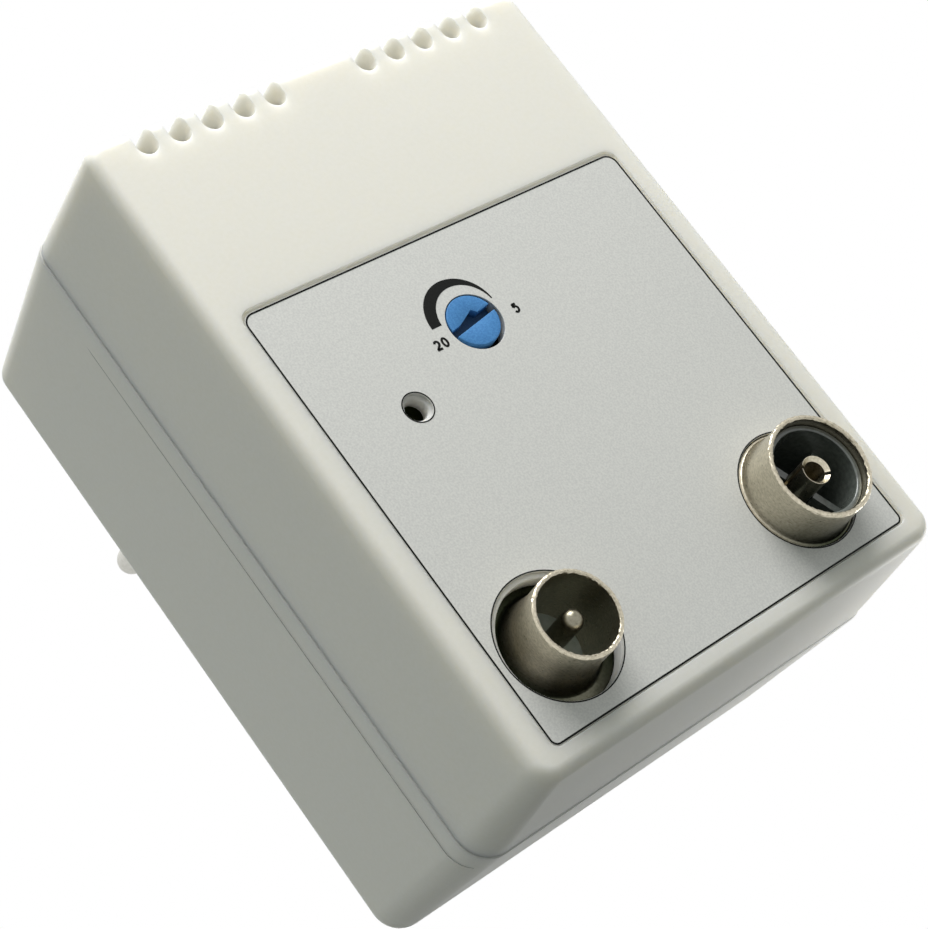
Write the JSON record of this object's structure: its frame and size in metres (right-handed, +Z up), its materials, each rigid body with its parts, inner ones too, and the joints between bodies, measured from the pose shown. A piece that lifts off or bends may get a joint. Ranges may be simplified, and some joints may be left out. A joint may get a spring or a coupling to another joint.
{
  "type": "plug-in aerial signal amplifier",
  "caption": "Cream plastic box that plugs into a wall socket, with a male and a female aerial connector, vent slots and a screwdriver-turned gain control on its front.",
  "frame": {"origin": "midway between the mains pins, on the plug face that meets the wall socket", "axes": "+Y along the mains pins into the wall, -Y towards the viewer, +Z up, +X to the right seen from the front"},
  "size_m": [0.0618, 0.0905, 0.0811],
  "materials": {
    "cream_plastic": "fine satin grain",
    "label_foil": "silver-grey printed foil",
    "screw_steel": "zinc plated",
    "nickel": "bright nickel plating",
    "black_plastic": "dull moulded",
    "brown_wire": "wire insulation",
    "blue_wire": "wire insulation",
    "board": "resin board",
    "lamination": "stacked steel sheet",
    "dark_copper": "enamelled wire",
    "copper": "enamelled wire",
    "tinned_wire": "tinned",
    "fuse_ceramic": "ceramic body",
    "capacitor_sleeve": "shrunk sleeve",
    "tinned_sheet": "tinned sheet",
    "ferrite": "sintered",
    "chip_ceramic": "ceramic",
    "track_plate": "resin plate with a carbon track",
    "blue_plastic": "moulded, slightly worn",
    "brass": "sheet brass",
    "lamp_lens": "tinted clear lens"
  },
  "bodies": {
    "case": {"front_cover": "cream_plastic", "rear_cover": "cream_plastic", "front_label": "label_foil", "case_screws": "screw_steel", "left_plug_pin": "nickel", "right_plug_pin": "nickel", "left_pin_sleeve": "black_plastic", "right_pin_sleeve": "black_plastic", "pin_retainer": "cream_plastic", "left_mains_lead": "brown_wire", "right_mains_lead": "blue_wire", "main_board": "board", "board_screws": "screw_steel", "transformer_core": "lamination", "transformer_bobbin": "black_plastic", "primary_winding": "dark_copper", "secondary_winding": "copper", "transformer_terminals": "tinned_wire", "thermal_fuse": "fuse_ceramic", "rectifier_diodes": "black_plastic", "reservoir_capacitor": "capacitor_sleeve", "output_capacitor": "capacitor_sleeve", "voltage_regulator": "black_plastic", "shield_can": "tinned_sheet", "signal_transistors": "black_plastic", "ferrite_coupler": "ferrite", "coupling_capacitors": "chip_ceramic", "bias_resistors": "black_plastic", "trimmer_body": "black_plastic", "trimmer_track": "track_plate", "trimmer_legs": "tinned_wire", "indicator_led": "lamp_lens", "led_leads": "tinned_wire", "tv_plug_shell": "nickel", "tv_plug_insulator": "black_plastic", "tv_plug_pin": "nickel", "in_socket_shell": "nickel", "in_socket_liner": "black_plastic", "in_socket_contact": "nickel"},
    "gain_control": {"trimmer_rotor": "blue_plastic", "trimmer_wiper": "brass"}
  },
  "joints": [
    {"name": "gain_turn", "type": "hinge", "parent": "case", "child": "gain_control", "pos_m": [-0.0033, -0.0645, -0.01968], "axis": [0, 1, 0], "range_deg": [-107.5, 127.5]}
  ]
}
